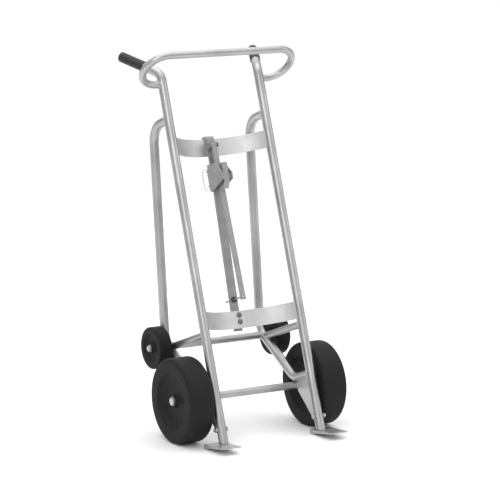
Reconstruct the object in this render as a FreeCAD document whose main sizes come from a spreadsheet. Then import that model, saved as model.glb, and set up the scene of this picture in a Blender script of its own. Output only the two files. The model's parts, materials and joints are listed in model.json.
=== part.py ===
import FreeCAD, Part
import math
import os
import Sketcher
from FreeCAD import Placement, Rotation, Vector

# Four-wheeled drum dolly. Millimetres, +X to the right, +Y to the rear, +Z up.
# The origin is on the floor, at the middle of the dolly's overall length and width.
# The frame is drawn in "rail axes": v runs rearward from the rails and w runs up along them.

doc = FreeCAD.newDocument("drum_dolly")

# ---------------------------------------------------------------- driving dimensions
PARAMETERS = [
    ("rail_lean", 19.57, "rails lean back from the vertical, degrees"),
    ("floor_drop", 21.4, "floor below the origin of the rail axes"),
    ("stand_ahead", 263.0, "rail axes start this far ahead of the overall middle"),
    ("rail_gauge", 398.6, "rail centre to rail centre"),
    ("pipe_od", 33.4, "rails and rear frame tubes, one inch pipe"),
    ("pipe_wall", 3.38, "wall of the one inch pipe"),
    ("small_od", 26.7, "handle loop, braces and cross tubes, three quarter inch pipe"),
    ("small_wall", 2.87, "wall of the three quarter inch pipe"),
    ("axle_tube_wall", 3.8, "wall of the two tubes that carry the axles"),
    ("rail_corner", 1331.3, "w of the corner where a rail turns into its handle"),
    ("rail_bend", 45.0, "centreline radius of that turn"),
    ("rail_turn", 56.2, "angle of that turn, degrees"),
    ("handle_flare", 29.0, "handles point outward by this angle about w, degrees"),
    ("grip_start", 76.0, "grip's open end from the corner"),
    ("grip_end", 186.7, "grip's closed end from the corner"),
    ("grip_od", 37.5, "grip outside diameter"),
    ("loop_low_v", 3.0, "lower legs of the handle loop"),
    ("loop_low_w", 1293.6, "lower legs of the handle loop"),
    ("loop_rise", 28.6, "loop's plane rises forward from v by this angle, degrees"),
    ("loop_bend", 76.0, "centreline radius of the loop's two ends"),
    ("loop_reach", 224.7, "half the loop's straight bar"),
    ("rear_top_w", 1165.0, "rear frame tube leaves the rail"),
    ("rear_foot_w", 203.5, "rear frame tube meets the rail again"),
    ("brace_w", 385.4, "horizontal brace from rail to rear frame tube"),
    ("axle_v", 109.24, "main axle"),
    ("axle_w", 177.86, "main axle"),
    ("rear_axle_v", 287.0, "rear axle"),
    ("rear_axle_w", 392.0, "rear axle"),
    ("axle_dia", 19.05, "both axles"),
    ("bore_dia", 19.2, "running bore of the wheels"),
    ("wheel_dia", 304.8, "main wheel"),
    ("wheel_half", 48.5, "half the width of the main wheel"),
    ("wheel_x", 272.7, "centre of the main wheel"),
    ("wheel_shoulder", 20.0, "shoulder radius of the main tyre"),
    ("rim_dia", 191.0, "recess in the main tyre"),
    ("small_dia", 152.4, "rear wheel"),
    ("small_half", 25.3, "half the width of the rear wheel"),
    ("small_x", 247.6, "centre of the rear wheel"),
    ("small_shoulder", 7.0, "shoulder radius of the rear tyre"),
    ("small_rim_dia", 100.0, "recess in the rear tyre"),
    ("band_bulge", 92.0, "bands bow rearward by this much between the rails"),
    ("band_high", 63.5, "height of the bands"),
    ("band_thick", 4.8, "thickness of the bands"),
    ("upper_band_w", 1036.5, "lower edge of the upper band"),
    ("lower_band_w", 404.5, "lower edge of the lower band"),
    ("mast_wide", 32.0, "width of the mast strap"),
    ("mast_thick", 9.5, "thickness of the mast strap"),
    ("bar_wide", 20.0, "width of the hook bar"),
    ("bar_thick", 8.0, "thickness of the hook bar"),
    ("bar_v", 61.0, "hook bar's hinge, behind the rails"),
    ("bar_foot_v", 39.6, "lower end of the hook bar, behind the rails"),
    ("bar_foot_w", 501.0, "lower end of the hook bar"),
    ("mast_stand", 16.0, "mast's distance behind the lower band"),
    ("bar_pivot_w", 1073.0, "hook bar's hinge"),
    ("rod_w", 512.0, "guide rod at the hook bar's lower end"),
    ("rod_dia", 8.0, "guide rod"),
    ("toe_x", 218.4, "centre of a toe plate"),
    ("toe_half", 36.7, "half the width of a toe plate"),
    ("toe_heel_y", 42.9, "rear edge of a toe plate, from the rail axes"),
    ("toe_tip_y", -91.5, "front edge of a toe plate, from the rail axes"),
    ("toe_heel_top", 16.2, "height of the top face at the heel"),
    ("toe_tip_top", 28.3, "height of the top face at the tip"),
    ("toe_tip_thick", 4.0, "thickness of the tip"),
    ("toe_step_y", -20.0, "step between the load face and the heel under the rail"),
    ("toe_step", 0.5, "the load face lies this much below the heel at the step"),
    ("toe_bolt_w", 49.0, "cross bolt of a toe"),
    ("toe_bolt_dia", 10.0, "cross bolt of a toe"),
    ("mast_bolt_dia", 10.0, "bolts through the mast and the lower band"),
    ("bearing_od", 32.0, "bearings in the main wheels, and their seats less the fit"),
    ("bearing_wide", 14.0, "bearings in the main wheels"),
    ("small_bearing_od", 26.0, "bearings in the rear wheels"),
    ("small_bearing_wide", 10.0, "bearings in the rear wheels"),
    ("cap_dia", 30.0, "push-on cap of the main axle"),
    ("small_cap_dia", 22.4, "push-on cap of the rear axle"),
    ("ring_wire", 4.0, "wire of the pull ring"),
]

sheet = doc.addObject("Spreadsheet::Sheet", "params")
P = {}
for line, (alias, value, meaning) in enumerate(PARAMETERS, start=1):
    sheet.set(f"A{line}", alias)
    sheet.set(f"B{line}", str(value))
    sheet.set(f"C{line}", meaning)
    sheet.setAlias(f"B{line}", alias)
    P[alias] = value
doc.recompute()

HALF_GAUGE = P["rail_gauge"] / 2
PIPE_R = P["pipe_od"] / 2
SMALL_R = P["small_od"] / 2
LEAN = Placement(Vector(0, -P["stand_ahead"], P["floor_drop"]), Rotation(Vector(-1, 0, 0), P["rail_lean"]))
outputs = []


# ---------------------------------------------------------------- builders
def emit(label, obj):
    """Name an object as one exported sub-part."""
    obj.Label = label
    outputs.append(obj)
    return obj


def plane(body, role):
    """One of a body's own origin planes."""
    return next(f for f in body.Origin.OriginFeatures if f.Role == role)


def sketch_on(body, role, name, offset=0.0):
    """A sketch attached to an origin plane of its own body, lifted along the normal."""
    sketch = body.newObject("Sketcher::SketchObject", name)
    sketch.AttachmentSupport = (plane(body, role), [""])
    sketch.MapMode = "FlatFace"
    sketch.AttachmentOffset = Placement(Vector(0, 0, offset), Rotation())
    return sketch


def lean_frame(obj):
    """Stand an object in the rail axes, bound to the sheet."""
    obj.Placement = LEAN
    obj.setExpression("Placement.Rotation.Angle", "params.rail_lean")
    obj.setExpression("Placement.Base.y", "-params.stand_ahead")
    obj.setExpression("Placement.Base.z", "params.floor_drop")


def rounded(corners, radii):
    """Lines and tangent arcs through corner points, each inner corner with its radius."""
    items = []
    last = corners[0]
    for before, here, after, radius in zip(corners, corners[1:], corners[2:], radii):
        into = (here - before).normalize()
        out = (after - here).normalize()
        half = math.acos(max(-1.0, min(1.0, into.dot(out)))) / 2
        reach = radius * math.tan(half)
        start = here - into * reach
        end = here + out * reach
        inward = (out - into).normalize()
        middle = here + inward * (radius / math.cos(half) - radius)
        items.append(Part.LineSegment(last, start))
        items.append(Part.Arc(start, middle, end))
        last = end
    items.append(Part.LineSegment(last, corners[-1]))
    return items


def join_ends(sketch, pieces, closed):
    """Tie each piece of a path to the next one. A sketch stores a clockwise arc from its far end."""
    ends = []
    for piece in pieces:
        first, last = piece.StartPoint, piece.EndPoint
        middle = piece.value((piece.FirstParameter + piece.LastParameter) / 2)
        clockwise = (middle - first).cross(last - middle).z < -1e-9
        ends.append((2, 1) if clockwise else (1, 2))
    pairs = list(zip(range(len(pieces)), range(1, len(pieces))))
    if closed:
        pairs.append((len(pieces) - 1, 0))
    for here, after in pairs:
        sketch.addConstraint(Sketcher.Constraint("Coincident", here, ends[here][1], after, ends[after][0]))


def polygon_sketch(sketch, corners):
    """A closed outline of straight edges."""
    ring = [Vector(a, b, 0) for a, b in corners]
    edges = [Part.LineSegment(p, q) for p, q in zip(ring, ring[1:] + ring[:1])]
    sketch.addGeometry(edges, False)
    join_ends(sketch, edges, True)


def tube(name, corners, radii, start, along, side, od, wall, frame=LEAN):
    """A bent tube. The path starts at `start`, runs first along `along` and bends in the plane of `side`."""
    body = doc.addObject("PartDesign::Body", name)
    path = sketch_on(body, "XY_Plane", name + "_path")
    pieces = rounded([Vector(a, b, 0) for a, b in corners], radii)
    path.addGeometry(pieces, False)
    join_ends(path, pieces, False)
    section = sketch_on(body, "YZ_Plane", name + "_section")
    section.addGeometry(Part.Circle(Vector(0, 0, 0), Vector(0, 0, 1), P[od] / 2), False)
    section.addConstraint(Sketcher.Constraint("Coincident", 0, 3, -1, 1))
    outer = section.addConstraint(Sketcher.Constraint("Radius", 0, P[od] / 2))
    section.setExpression(f"Constraints[{outer}]", f"params.{od} / 2")
    if wall:
        inner_r = P[od] / 2 - P[wall]
        section.addGeometry(Part.Circle(Vector(0, 0, 0), Vector(0, 0, 1), inner_r), False)
        section.addConstraint(Sketcher.Constraint("Coincident", 1, 3, -1, 1))
        inner = section.addConstraint(Sketcher.Constraint("Radius", 1, inner_r))
        section.setExpression(f"Constraints[{inner}]", f"params.{od} / 2 - params.{wall}")
    doc.recompute()
    pipe = body.newObject("PartDesign::AdditivePipe", name + "_sweep")
    pipe.Profile = section
    pipe.Spine = (path, [])
    turn = Rotation(along, side, along.cross(side), "XYZ")
    body.Placement = frame.multiply(Placement(start, turn))
    return body


def prism(name, corners, low_x, high_x, frame="lean"):
    """A plate drawn in the v-w plane and padded along X."""
    body = doc.addObject("PartDesign::Body", name)
    sketch = sketch_on(body, "YZ_Plane", name + "_outline", low_x)
    polygon_sketch(sketch, corners)
    pad = body.newObject("PartDesign::Pad", name + "_pad")
    pad.Profile = sketch
    pad.Length = high_x - low_x
    if frame == "lean":
        lean_frame(body)
    else:
        body.Placement = Placement(Vector(0, -P["stand_ahead"], 0), Rotation())
    return body


def turned(name, corners, v, w, radii=None):
    """A body of revolution about X. Corners are (x, radius); with radii the first one is mid-edge."""
    body = doc.addObject("PartDesign::Body", name)
    sketch = sketch_on(body, "XY_Plane", name + "_half")
    if radii:
        edges = rounded([Vector(a, b, 0) for a, b in corners + corners[:1]], radii)
        sketch.addGeometry(edges, False)
        join_ends(sketch, edges, True)
    else:
        polygon_sketch(sketch, corners)
    spin = body.newObject("PartDesign::Revolution", name + "_spin")
    spin.Profile = sketch
    spin.ReferenceAxis = (sketch, ["H_Axis"])
    spin.Angle = 360
    body.Placement = LEAN.multiply(Placement(Vector(0, v, w), Rotation()))
    return body


def rod(name, dia, low_x, high_x, v, w, bound=None):
    """A plain cylinder along X in the rail axes."""
    bar = doc.addObject("Part::Cylinder", name)
    bar.Radius = dia / 2
    if bound:
        bar.setExpression("Radius", f"params.{bound} / 2")
    bar.Height = high_x - low_x
    bar.Placement = LEAN.multiply(Placement(Vector(low_x, v, w), Rotation(Vector(0, 1, 0), 90)))
    return bar


def bar_along(name, dia, start, direction, length):
    """A plain cylinder from a point along a direction, in the rail axes."""
    bar = doc.addObject("Part::Cylinder", name)
    bar.Radius = dia / 2
    bar.Height = length
    bar.Placement = LEAN.multiply(Placement(start, Rotation(Vector(0, 0, 1), direction)))
    return bar


def cut(name, base, *tools):
    """Base less each tool in turn."""
    for index, tool in enumerate(tools):
        piece = doc.addObject("Part::Cut", f"{name}_{index}" if index + 1 < len(tools) else name)
        piece.Base = base
        piece.Tool = tool
        base = piece
    return base


def fuse(name, *shapes):
    """Several shapes welded into one."""
    piece = doc.addObject("Part::MultiFuse", name)
    piece.Shapes = list(shapes)
    return piece


def group(name, *shapes):
    """Several separate solids kept in one sub-part."""
    piece = doc.addObject("Part::Compound", name)
    piece.Links = list(shapes)
    return piece


def sleeve(name, outer, inner, low_x, high_x, v, w):
    """A ring along X."""
    shell = rod(name + "_out", outer, low_x, high_x, v, w)
    hole = rod(name + "_in", inner, low_x - 1, high_x + 1, v, w)
    return cut(name, shell, hole)


def hexagon(name, flats, low_x, high_x, v, w):
    """A hexagonal prism along X."""
    piece = doc.addObject("Part::Prism", name)
    piece.Polygon = 6
    piece.Circumradius = flats / math.sqrt(3)
    piece.Height = high_x - low_x
    piece.Placement = LEAN.multiply(Placement(Vector(low_x, v, w), Rotation(Vector(0, 1, 0), 90)))
    return piece


def copy_of(source, name):
    """A linked copy of an object, for use as another tool."""
    twin = doc.addObject("Part::Compound", name)
    twin.Links = [source]
    return twin


def ordered(s, near, far):
    """Low and high ends along X, on one side of the dolly, of two distances from its middle."""
    return sorted((s * near, s * far))


SIDES = (("left", -1), ("right", 1))
V_AXIS = Vector(0, 1, 0)
W_AXIS = Vector(0, 0, 1)
X_AXIS = Vector(1, 0, 0)

# ---------------------------------------------------------------- toes
# A wedge of plate under each rail: thin at the tip, with a plug that goes up inside the rail.
# The load face is the part ahead of the rail, a small step below the heel.
toe_slope = (P["toe_tip_top"] - P["toe_heel_top"]) / (P["toe_heel_y"] - P["toe_tip_y"])
toe_angle = math.degrees(math.atan(toe_slope))
step_heel = P["toe_heel_top"] + toe_slope * (P["toe_heel_y"] - P["toe_step_y"])
# The wall of the step leans back, so it stays clear of a plate lying on the load face.
STEP_LEAN = 0.15
TOE_OUTLINE = [
    (P["toe_heel_y"], P["toe_heel_top"]),
    (P["toe_heel_y"], 0.0),
    (P["toe_tip_y"], P["toe_tip_top"] - P["toe_tip_thick"]),
    (P["toe_tip_y"], P["toe_tip_top"]),
    (P["toe_step_y"], step_heel - P["toe_step"]),
    (P["toe_step_y"] + STEP_LEAN, step_heel),
]


def toe_ground(name, lift=0.0):
    """Everything under the plane of the toe's top face, used to trim the rails and the plugs."""
    block = doc.addObject("Part::Box", name)
    block.Length = 700
    block.Width = 300
    block.Height = 80
    turn = Rotation(Vector(1, 0, 0), -toe_angle)
    corner = turn.multVec(Vector(-350, -200, -80))
    heel = Vector(0, P["toe_heel_y"] - P["stand_ahead"], P["toe_heel_top"] + lift)
    block.Placement = Placement(heel + corner, turn)
    return block


BELOW_FLOOR = 20.0
PLUG_FIT = 0.08
PLUG_TOP_W = 72.0
BOLT_FIT = 0.2
bolt_hole_r = P["toe_bolt_dia"] / 2 + BOLT_FIT
for side_name, s in SIDES:
    inner_edge = s * P["toe_x"] - P["toe_half"]
    wedge = prism(side_name + "_toe_wedge", TOE_OUTLINE, inner_edge, inner_edge + 2 * P["toe_half"], "world")
    plug_r = PIPE_R - P["pipe_wall"] - PLUG_FIT
    plug = bar_along(side_name + "_toe_plug", 2 * plug_r, Vector(s * HALF_GAUGE, 0, -BELOW_FLOOR), W_AXIS,
                     PLUG_TOP_W + BELOW_FLOOR)
    plug_cut = cut(side_name + "_toe_plug_cut", plug, toe_ground(side_name + "_toe_trim"))
    joined = fuse(side_name + "_toe_joined", wedge, plug_cut)
    hole = rod(side_name + "_toe_hole", 2 * bolt_hole_r, s * HALF_GAUGE - 40, s * HALF_GAUGE + 40,
               0, P["toe_bolt_w"])
    emit(side_name + "_toe", cut(side_name + "_toe_body", joined, hole))

# ---------------------------------------------------------------- rails with their handles
GRIP_END_THICK = 6.0
# The rail stops short of the toe, so a neck of the plug shows below it.
FOOT_GAP = 2.5
rail_solids = {}
rear_solids = {}
for side_name, s in SIDES:
    turn = math.radians(P["rail_turn"])
    flare = math.radians(P["handle_flare"])
    lead = Vector(s * math.sin(flare), math.cos(flare), 0)
    foot = -BELOW_FLOOR
    rise = P["rail_corner"] - foot
    tip = P["grip_end"] - GRIP_END_THICK
    corners = [(0, 0), (rise, 0), (rise + tip * math.cos(turn), tip * math.sin(turn))]
    foot_point = Vector(s * HALF_GAUGE, 0, foot)
    pipe = tube(side_name + "_rail_pipe", corners, [P["rail_bend"]], foot_point, W_AXIS, lead,
                "pipe_od", "pipe_wall")
    core = tube(side_name + "_rail_core", corners, [P["rail_bend"]], foot_point, W_AXIS, lead,
                "pipe_od", None)
    rail_solids[side_name] = core
    bolt_gap = rod(side_name + "_rail_hole", 2 * bolt_hole_r, s * HALF_GAUGE - 40, s * HALF_GAUGE + 40,
                   0, P["toe_bolt_w"])
    ground = toe_ground(side_name + "_rail_trim", FOOT_GAP)
    emit(side_name + "_rail", cut(side_name + "_rail_cut", pipe, ground, bolt_gap))

    # Rubber grip: a sleeve with a closed end.
    handle = (W_AXIS * math.cos(turn) + lead * math.sin(turn)).normalize()
    open_end = Vector(s * HALF_GAUGE, 0, P["rail_corner"]) + handle * P["grip_start"]
    length = P["grip_end"] - P["grip_start"]
    shell = bar_along(side_name + "_grip_shell", P["grip_od"], open_end, handle, length)
    shell.setExpression("Radius", "params.grip_od / 2")
    hollow = length - GRIP_END_THICK + 1
    bore = bar_along(side_name + "_grip_bore", P["pipe_od"], open_end - handle, handle, hollow)
    emit(side_name + "_grip", cut(side_name + "_grip_cut", shell, bore))

# ---------------------------------------------------------------- handle loop
# One tube: out from each rail, round a half turn forward and up, and across the front.
rise = math.radians(P["loop_rise"])
forward = Vector(0, -math.cos(rise), math.sin(rise))
span = 2 * P["loop_bend"]
reach = P["loop_reach"] + P["loop_bend"]
leg = reach - HALF_GAUGE
loop_path = [(0, 0), (leg, 0), (leg, span), (-2 * reach + leg, span), (-2 * reach + leg, 0),
             (-2 * HALF_GAUGE, 0)]
loop_start = Vector(HALF_GAUGE, P["loop_low_v"], P["loop_low_w"])
# The half turns are drawn as two quarter turns each, a hair under the full radius.
quarter = P["loop_bend"] - 0.05
loop_tube = tube("loop_pipe", loop_path, [quarter] * 4, loop_start, X_AXIS, forward, "small_od", "small_wall")
emit("handle_loop", cut("loop_cut", loop_tube, copy_of(rail_solids["left"], "loop_tool_l"),
                        copy_of(rail_solids["right"], "loop_tool_r")))

# ---------------------------------------------------------------- rear frame tubes, braces, gussets
SHOULDER = (122.0, P["rear_top_w"])
KNEE = (304.0, 412.0)
ANKLE = (113.2, P["rear_foot_w"])
REAR_PATH = [(0.0, P["rear_top_w"]), SHOULDER, KNEE, ANKLE, (0.0, P["rear_foot_w"])]
REAR_BENDS = [76.0, 80.0, 76.0]
GUSSET = [(0, 203), (104, 203), (104, 158), (24, 32), (0, 32)]
GUSSET_THICK = 6.0
for side_name, s in SIDES:
    centre = s * HALF_GAUGE
    local = [(v, P["rear_top_w"] - w) for v, w in REAR_PATH]
    head = Vector(centre, 0, P["rear_top_w"])
    down = Vector(0, 0, -1)
    pipe = tube(side_name + "_rear_pipe", local, REAR_BENDS, head, V_AXIS, down, "pipe_od", "pipe_wall")
    core = tube(side_name + "_rear_core", local, REAR_BENDS, head, V_AXIS, down, "pipe_od", None)
    rear_solids[side_name] = core
    axle_gap = rod(side_name + "_rear_gap", P["bore_dia"], centre - 40, centre + 40,
                   P["rear_axle_v"], P["rear_axle_w"], "bore_dia")
    rail_tool = copy_of(rail_solids[side_name], side_name + "_rear_tool")
    emit(side_name + "_rear_tube", cut(side_name + "_rear_cut", pipe, rail_tool, axle_gap))

    brace = tube(side_name + "_brace_pipe", [(0, 0), (275, 0)], [], Vector(centre, 0, P["brace_w"]),
                 V_AXIS, down, "small_od", "small_wall")
    rail_tool = copy_of(rail_solids[side_name], side_name + "_brace_tool")
    rear_tool = copy_of(core, side_name + "_brace_tool_rear")
    emit(side_name + "_brace", cut(side_name + "_brace_cut", brace, rail_tool, rear_tool))

    plate = prism(side_name + "_gusset_plate", GUSSET, centre - GUSSET_THICK / 2, centre + GUSSET_THICK / 2)
    rail_tool = copy_of(rail_solids[side_name], side_name + "_gusset_tool")
    rear_tool = copy_of(core, side_name + "_gusset_tool_rear")
    axle_tool = rod(side_name + "_gusset_axle", P["small_od"], centre - 20, centre + 20,
                    P["axle_v"], P["axle_w"], "small_od")
    emit(side_name + "_gusset", cut(side_name + "_gusset_cut", plate, rail_tool, rear_tool, axle_tool))

# ---------------------------------------------------------------- axle tubes and axles
AXLE_TUBE_END = 224.0
axle_bore = P["small_od"] - 2 * P["axle_tube_wall"]
emit("axle_tube", sleeve("axle_tube_ring", P["small_od"], axle_bore, -AXLE_TUBE_END, AXLE_TUBE_END,
                         P["axle_v"], P["axle_w"]))
cross = sleeve("cross_ring", P["small_od"], axle_bore, -HALF_GAUGE, HALF_GAUGE,
               P["rear_axle_v"], P["rear_axle_w"])
emit("rear_cross_tube", cut("cross_cut", cross, copy_of(rear_solids["left"], "cross_tool_l"),
                            copy_of(rear_solids["right"], "cross_tool_r")))

MAIN_AXLE_END = 319.5
REAR_AXLE_END = 282.2
MAIN_AXIS = (P["axle_v"], P["axle_w"])
REAR_AXIS = (P["rear_axle_v"], P["rear_axle_w"])
emit("main_axle", rod("main_axle_rod", P["axle_dia"], -MAIN_AXLE_END, MAIN_AXLE_END, *MAIN_AXIS, "axle_dia"))
emit("rear_axle", rod("rear_axle_rod", P["axle_dia"], -REAR_AXLE_END, REAR_AXLE_END, *REAR_AXIS, "axle_dia"))
BOSS_OUT = 39.8
BOSS_IN = 44.8
SMALL_BOSS = P["small_half"] + 1.0
SEAT_FIT = 0.1
AXLE_ROOM = 1.5


def mirrored(corners, s, centre):
    """Profile corners given from a wheel's mid-plane outward, put on one side of the dolly."""
    return [(s * (centre + x), r) for x, r in corners]


def wheel(name, s, axis, centre, dia, half, rim, shoulder, depth, web, boss_r, boss_out, boss_in,
          bearing_od, bearing_wide):
    """A solid tyre with rounded shoulders on a dished centre, whose boss holds a bearing at each end."""
    outer = dia / 2
    seat = rim / 2
    ring = [(0, seat), (half, seat), (half, outer), (-half, outer), (-half, seat)]
    tyre = name + "_tyre"
    emit(tyre, turned(tyre + "_turned", mirrored(ring, s, centre), *axis, [3.0, shoulder, shoulder, 3.0]))
    bore = P["axle_dia"] / 2 + AXLE_ROOM
    pocket = bearing_od / 2 + SEAT_FIT / 2
    hub_outline = [
        (boss_out - bearing_wide, bore), (boss_out - bearing_wide, pocket), (boss_out, pocket),
        (boss_out, boss_r - 3), (boss_out - 3, boss_r), (web / 2, boss_r + 4), (web / 2, seat - 12),
        (half - depth, seat - 6), (half - depth, seat), (-half + depth, seat), (-half + depth, seat - 6),
        (-web / 2, seat - 12), (-web / 2, boss_r + 4), (-boss_in, boss_r), (-boss_in, pocket),
        (-boss_in + bearing_wide, pocket), (-boss_in + bearing_wide, bore),
    ]
    emit(name + "_hub", turned(name + "_hub_turned", mirrored(hub_outline, s, centre), *axis))
    ends = [ordered(s, centre + boss_out - bearing_wide, centre + boss_out),
            ordered(s, centre - boss_in, centre - boss_in + bearing_wide)]
    rings = [sleeve(f"{name}_bearing_{i}", bearing_od, P["bore_dia"], low, high, *axis)
             for i, (low, high) in enumerate(ends)]
    emit(name + "_bearings", group(name + "_bearings_all", *rings))


for side_name, s in SIDES:
    wheel(side_name + "_main", s, MAIN_AXIS, P["wheel_x"], P["wheel_dia"], P["wheel_half"], P["rim_dia"],
          P["wheel_shoulder"], 10.0, 48.0, 21.0, BOSS_OUT, BOSS_IN, P["bearing_od"], P["bearing_wide"])
    wheel(side_name + "_rear", s, REAR_AXIS, P["small_x"], P["small_dia"], P["small_half"],
            P["small_rim_dia"],
          P["small_shoulder"], 5.0, 26.0, 17.0, SMALL_BOSS, SMALL_BOSS, P["small_bearing_od"],
          P["small_bearing_wide"])

# Washers, push-on caps and spacers that keep the wheels on the axles.
SIDE_PLAY = 0.3
SPACER_PLAY = 0.3
WASHER_THICK = 2.2
CAP_END = 1.5
caps = []
washers = []
spacers = []


def retain(name, s, axis, hub_out, hub_in, axle_end, frame_end, washer_dia, cap_dia, spacer_dia):
    """The washer, cap and spacer of one wheel, from the outer and inner ends of its hub."""
    washer_end = hub_out + SIDE_PLAY + WASHER_THICK
    washers.append(sleeve(name + "_washer", washer_dia, P["axle_dia"], *ordered(s,
            hub_out + SIDE_PLAY, washer_end),
                          *axis))
    cap = rod(name + "_cap", cap_dia, *ordered(s, washer_end, axle_end + CAP_END), *axis)
    axle_room = rod(name + "_cap_in", P["axle_dia"], *ordered(s, hub_out, axle_end), *axis)
    caps.append(cut(name + "_cap_cut", cap, axle_room))
    spacers.append(sleeve(name + "_spacer", spacer_dia, P["axle_dia"], *ordered(s, frame_end,
            hub_in - SPACER_PLAY),
                          *axis))


for side_name, s in SIDES:
    retain(side_name + "_main", s, MAIN_AXIS, P["wheel_x"] + BOSS_OUT, P["wheel_x"] - BOSS_IN,
           MAIN_AXLE_END, AXLE_TUBE_END, 26.0, P["cap_dia"], 34.0)
    retain(side_name + "_rear", s, REAR_AXIS, P["small_x"] + SMALL_BOSS, P["small_x"] - SMALL_BOSS,
           REAR_AXLE_END, HALF_GAUGE + PIPE_R, 24.0, P["small_cap_dia"], 25.4)
emit("axle_caps", group("axle_caps_all", *caps))
emit("axle_washers", group("axle_washers_all", *washers))
emit("axle_spacers", group("axle_spacers_all", *spacers))

# ---------------------------------------------------------------- toe bolts and nuts
TOE_HEAD = (16.0, 6.4)
TOE_NUT = (17.0, 9.0)
SHANK_PROUD = 13.0
toe_bolt_axis = (0, P["toe_bolt_w"])
bolts = []
nuts = []
for side_name, s in SIDES:
    inner_side = HALF_GAUGE - PIPE_R
    outer_side = HALF_GAUGE + PIPE_R
    shank = rod(side_name + "_toe_shank", P["toe_bolt_dia"], *ordered(s, inner_side - 0.2,
            outer_side + SHANK_PROUD),
                *toe_bolt_axis, "toe_bolt_dia")
    flats, high = TOE_HEAD
    head = hexagon(side_name + "_toe_head", flats, *ordered(s, inner_side - high, inner_side), *toe_bolt_axis)
    bolts.append(fuse(side_name + "_toe_bolt", shank, head))
    flats, high = TOE_NUT
    body = hexagon(side_name + "_toe_nut_hex", flats, *ordered(s, outer_side, outer_side + high),
            *toe_bolt_axis)
    thread = rod(side_name + "_toe_nut_hole", P["toe_bolt_dia"], *ordered(s, inner_side, outer_side + 40),
                 *toe_bolt_axis)
    nuts.append(cut(side_name + "_toe_nut", body, thread))
emit("toe_bolts", group("toe_bolts_all", *bolts))
emit("toe_nuts", group("toe_nuts_all", *nuts))

# ---------------------------------------------------------------- drum bands
# Flat bars bowed rearward between the rails; their ends are coped to the pipe.
CHORD = 183.0
band_r = (CHORD ** 2 + P["band_bulge"] ** 2) / (2 * P["band_bulge"])
band_centre = P["band_bulge"] - band_r
BAND_END = 187.0
BOLT_W = (452.7, 428.3)
MAST_HOLE_DIA = P["mast_bolt_dia"] + 2 * BOLT_FIT


def band(name, low_w):
    """A bowed bar of the given lower edge."""
    body = doc.addObject("PartDesign::Body", name)
    sketch = sketch_on(body, "XY_Plane", name + "_arc", low_w)
    sides = []
    for radius in (band_r - P["band_thick"] / 2, band_r + P["band_thick"] / 2):
        end_v = band_centre + math.sqrt(radius ** 2 - BAND_END ** 2)
        sides.append((Vector(-BAND_END, end_v, 0), Vector(0, band_centre + radius, 0),
                Vector(BAND_END, end_v, 0)))
    inner, outer = sides
    edges = [Part.Arc(*inner), Part.LineSegment(inner[2], outer[2]), Part.Arc(outer[2], outer[1], outer[0]),
             Part.LineSegment(outer[0], inner[0])]
    sketch.addGeometry(edges, False)
    pad = body.newObject("PartDesign::Pad", name + "_pad")
    pad.Profile = sketch
    pad.Length = P["band_high"]
    pad.setExpression("Length", "params.band_high")
    lean_frame(body)
    tools = [copy_of(rail_solids[side], f"{name}_{side}_tool") for side, s in SIDES]
    return body, tools


upper, tools = band("upper_band_body", P["upper_band_w"])
emit("upper_drum_band", cut("upper_band_cut", upper, *tools))
lower, tools = band("lower_band_body", P["lower_band_w"])
holes = [bar_along(f"band_hole_{i}", MAST_HOLE_DIA, Vector(0, 70, w), V_AXIS, 50)
         for i, w in enumerate(BOLT_W)]
emit("lower_drum_band", cut("lower_band_cut", lower, *tools, *holes))

# ---------------------------------------------------------------- mast
# A strap bolted behind the lower band. It runs up in front of the upper band and folds back over it.


def offset_side(line, distance):
    """Corner points of a polyline moved sideways, mitred."""
    points = [Vector(a, b, 0) for a, b in line]
    moved = []
    for index, point in enumerate(points):
        normals = []
        for p, q in zip(points, points[1:]):
            if point in (p, q) and (p is point or q is point):
                way = (q - p).normalize()
                normals.append(Vector(-way.y, way.x, 0))
        mean = normals[0] if len(normals) == 1 else (normals[0] + normals[1]).normalize()
        stretch = distance / mean.dot(normals[0])
        moved.append(point + mean * stretch)
    return moved


def strap(name, line, radii, thick, low_x, high_x):
    """A flat bar bent in the v-w plane about a centreline with rounded corners."""
    sides = []
    for distance in (thick / 2, -thick / 2):
        points = offset_side(line, distance)
        bends = []
        for before, here, after, radius in zip(points, points[1:], points[2:], radii):
            way = (here - before).cross(after - here).z
            bends.append(radius - distance if way > 0 else radius + distance)
        sides.append(rounded(points, bends))
    near, far = sides
    outline = list(near)
    outline.append(Part.LineSegment(near[-1].EndPoint, far[-1].EndPoint))
    for piece in reversed(far):
        if isinstance(piece, Part.LineSegment):
            outline.append(Part.LineSegment(piece.EndPoint, piece.StartPoint))
        else:
            outline.append(piece)
    outline.append(Part.LineSegment(far[0].StartPoint, near[0].StartPoint))
    body = doc.addObject("PartDesign::Body", name)
    sketch = sketch_on(body, "YZ_Plane", name + "_outline", low_x)
    sketch.addGeometry(outline, False)
    pad = body.newObject("PartDesign::Pad", name + "_pad")
    pad.Profile = sketch
    pad.Length = high_x - low_x
    lean_frame(body)
    return body


half_mast = P["mast_thick"] / 2
band_back = P["band_bulge"] + P["band_thick"] / 2
band_front = P["band_bulge"] - P["band_thick"] / 2
mast_low_v = band_back + P["mast_stand"] + half_mast
# The fold passes over the band without touching it.
FOLD_GAP = 1.6
FOLD_BEND = 7.0
mast_top_w = P["upper_band_w"] + P["band_high"] + FOLD_GAP + half_mast
MAST_KINK_W = 480.0
MAST_BEND_W = 1030.0
MAST_BAND_GAP = 0.6
mast_top_v = band_front - MAST_BAND_GAP - half_mast
MAST_LINE = [(mast_low_v, 398.0), (mast_low_v, MAST_KINK_W), (mast_top_v, MAST_BEND_W),
             (mast_top_v, mast_top_w), (112.0, mast_top_w)]
mast_slope = (mast_top_v - mast_low_v) / (MAST_BEND_W - MAST_KINK_W)


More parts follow.
